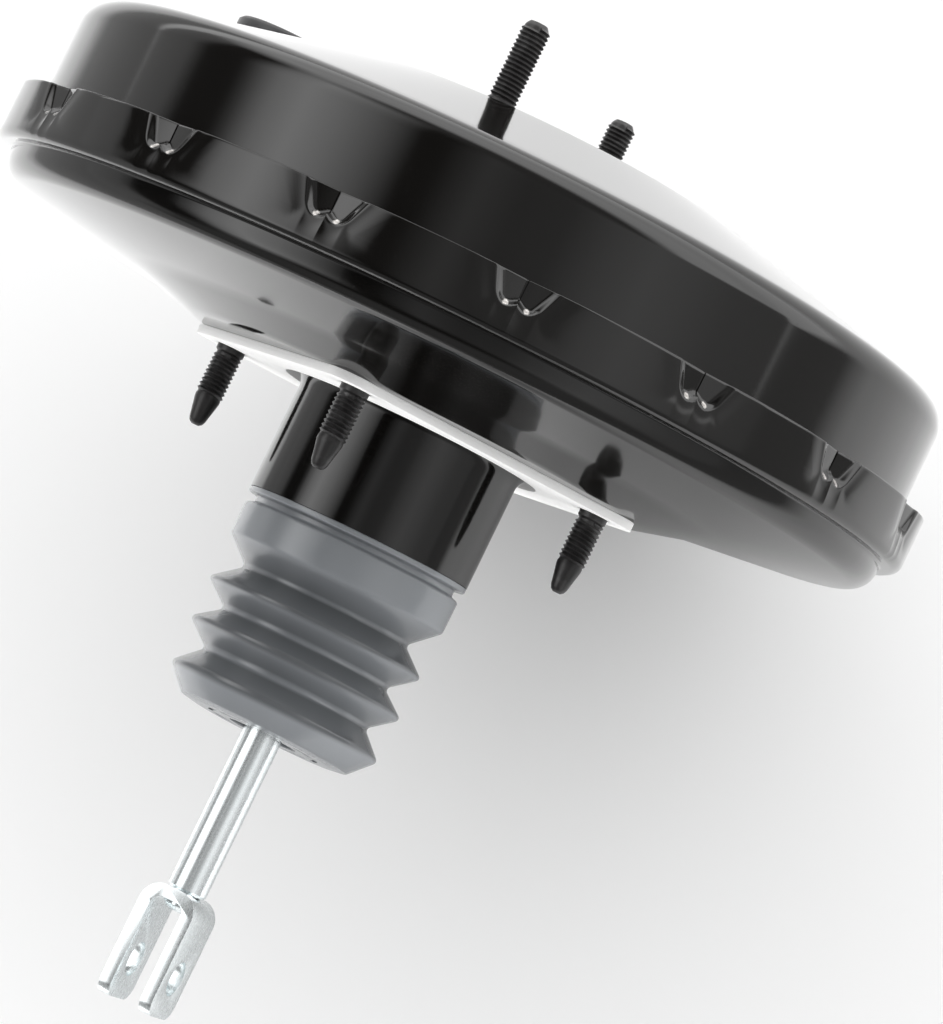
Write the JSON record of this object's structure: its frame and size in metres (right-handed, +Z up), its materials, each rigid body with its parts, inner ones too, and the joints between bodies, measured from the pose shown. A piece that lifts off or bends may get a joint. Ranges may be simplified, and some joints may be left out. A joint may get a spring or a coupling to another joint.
{
  "type": "brake booster",
  "caption": "Vacuum brake booster: a glossy drum with a skirted joint, a bellows boot and a sliding clevis pushrod that works an output rod through a diaphragm piston.",
  "frame": {"origin": "on the booster axis, in the outer face of the mounting gasket where it meets the firewall", "axes": "+X along the booster axis from the pedal side to the master cylinder, +Z up, +Y to the left; the clevis pin lies along Y"},
  "size_m": [0.2789, 0.27, 0.27],
  "materials": {
    "black_paint": "gloss",
    "stud_steel": "satin",
    "zinc_plate": "satin",
    "spring_steel": "satin",
    "gasket_foam": "matt",
    "boot_rubber": "satin",
    "seal_rubber": "matt",
    "moulding": "satin",
    "nylon": "matt",
    "filter_foam": "matt"
  },
  "bodies": {
    "housing": {"front_shell": "black_paint", "rear_shell": "black_paint", "mounting_gasket": "gasket_foam", "firewall_stud_plate": "stud_steel", "firewall_studs": "stud_steel", "master_cylinder_stud_plate": "stud_steel", "master_cylinder_studs": "stud_steel", "front_seal": "seal_rubber", "front_seal_retainer": "spring_steel", "neck_seal": "seal_rubber", "neck_bearing": "nylon", "check_valve_grommet": "seal_rubber", "diaphragm": "seal_rubber", "return_spring": "spring_steel", "boot": "boot_rubber"},
    "power_piston": {"valve_body": "moulding", "stop_key": "spring_steel", "diaphragm_plate": "spring_steel", "reaction_disc": "seal_rubber", "output_rod": "zinc_plate", "output_rod_tip": "zinc_plate", "output_rod_retainer": "zinc_plate", "poppet_valve": "seal_rubber", "poppet_retainer": "zinc_plate", "poppet_spring": "spring_steel", "rod_return_spring": "spring_steel", "silencer_felt": "filter_foam", "air_filter": "filter_foam"},
    "control_plunger": {"control_plunger": "zinc_plate"},
    "pushrod": {"input_rod": "zinc_plate", "rod_spring_seat": "zinc_plate", "clevis": "zinc_plate"},
    "check_valve": {"check_valve_body": "moulding", "check_valve_spring": "spring_steel"},
    "check_flap": {"check_valve_flap": "seal_rubber"}
  },
  "joints": [
    {"name": "piston_stroke", "type": "slide", "parent": "housing", "child": "power_piston", "axis": [1, 0, 0], "range_m": [0, 0.036], "stiffness_N_per_m": 3000, "springref_m": -0.04, "deforming": ["return_spring", "diaphragm", "boot"]},
    {"name": "valve_lead", "type": "slide", "parent": "power_piston", "child": "control_plunger", "axis": [1, 0, 0], "range_m": [0, 0.0016], "stiffness_N_per_m": 4000, "springref_m": -0.01, "deforming": ["rod_return_spring", "poppet_spring", "poppet_valve"]},
    {"name": "pushrod_swing", "type": "hinge", "parent": "control_plunger", "child": "pushrod", "pos_m": [-0.022, 0, 0], "axis": [0, 1, 0], "range_deg": [-3, 3], "stiffness_Nm_per_rad": 15, "deforming": ["rod_return_spring"]},
    {"name": "nozzle_swivel", "type": "hinge", "parent": "housing", "child": "check_valve", "pos_m": [0.08, 0.09031, -0.0242], "axis": [1, 0, 0], "range_deg": [-30, 150]},
    {"name": "flap_lift", "type": "slide", "parent": "check_valve", "child": "check_flap", "axis": [1, 0, 0], "range_m": [0, 0.0015], "stiffness_N_per_m": 200, "springref_m": -0.002, "deforming": ["check_valve_spring"]}
  ]
}
